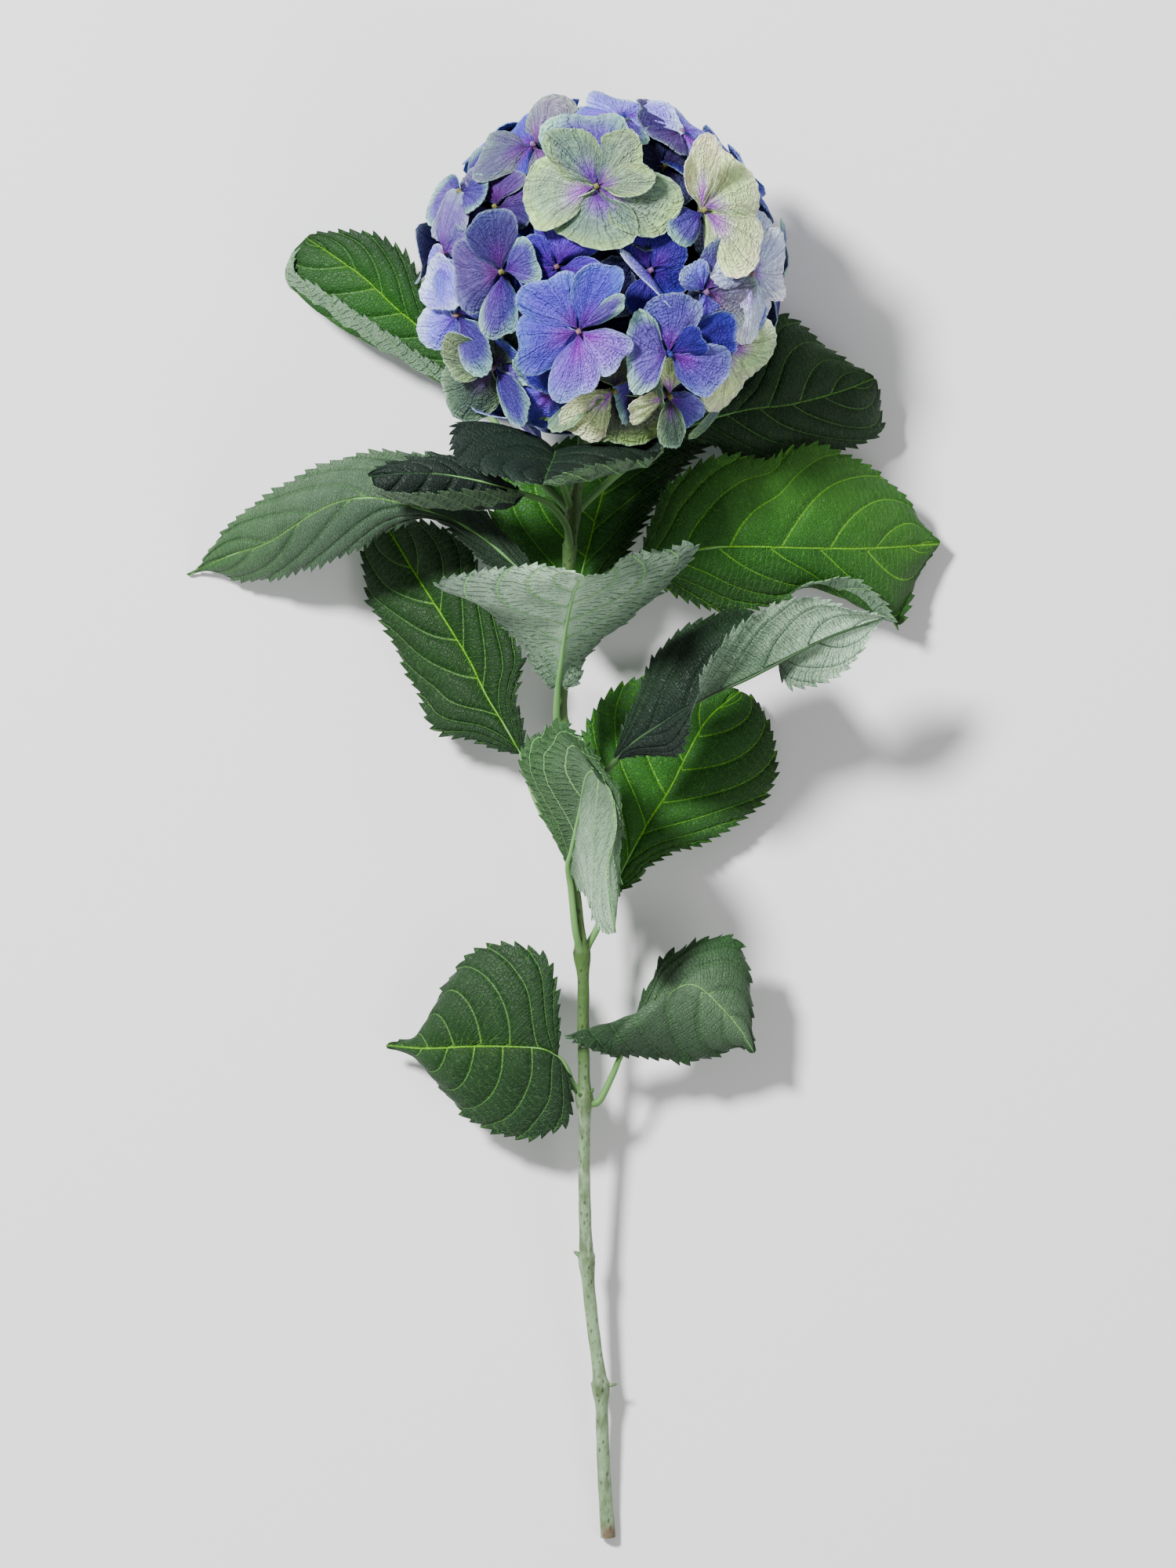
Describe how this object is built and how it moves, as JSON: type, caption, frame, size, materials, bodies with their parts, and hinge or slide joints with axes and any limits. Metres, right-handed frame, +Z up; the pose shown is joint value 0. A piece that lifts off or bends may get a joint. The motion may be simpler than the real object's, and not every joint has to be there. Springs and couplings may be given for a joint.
{
  "type": "cut hydrangea flower",
  "caption": "Cut mophead hydrangea lying on its side: a slim jointed stem with pairs of broad toothed leaves and a round blue-lilac bloom of overlapping florets.",
  "frame": {"origin": "on the surface the flower lies on, under the middle of its bounding box", "axes": "+Z up from the surface; +Y along the stem from its cut end towards the bloom; +X to the right of someone who looks down on the flower with the bloom at the top"},
  "size_m": [0.3245, 0.617, 0.1501],
  "materials": {
    "stem": "matt green bark with brown specks",
    "leaf": "satin veined leaf, paler underneath",
    "petals": "matt veined petals, blue to lilac and pale green"
  },
  "bodies": {
    "root": {"stem": "stem", "leaf_low_left": "leaf", "leaf_low_right": "leaf", "leaf_second_front": "leaf", "leaf_second_back": "leaf", "leaf_third_left": "leaf", "leaf_third_right": "leaf", "leaf_fourth_front": "leaf", "leaf_fourth_back": "leaf", "leaf_fifth_left": "leaf", "leaf_fifth_right": "leaf", "leaf_sixth_front": "leaf", "leaf_top_front": "leaf", "leaf_top_left": "leaf", "leaf_top_right": "leaf", "flower_head": "petals"}
  },
  "joints": []
}
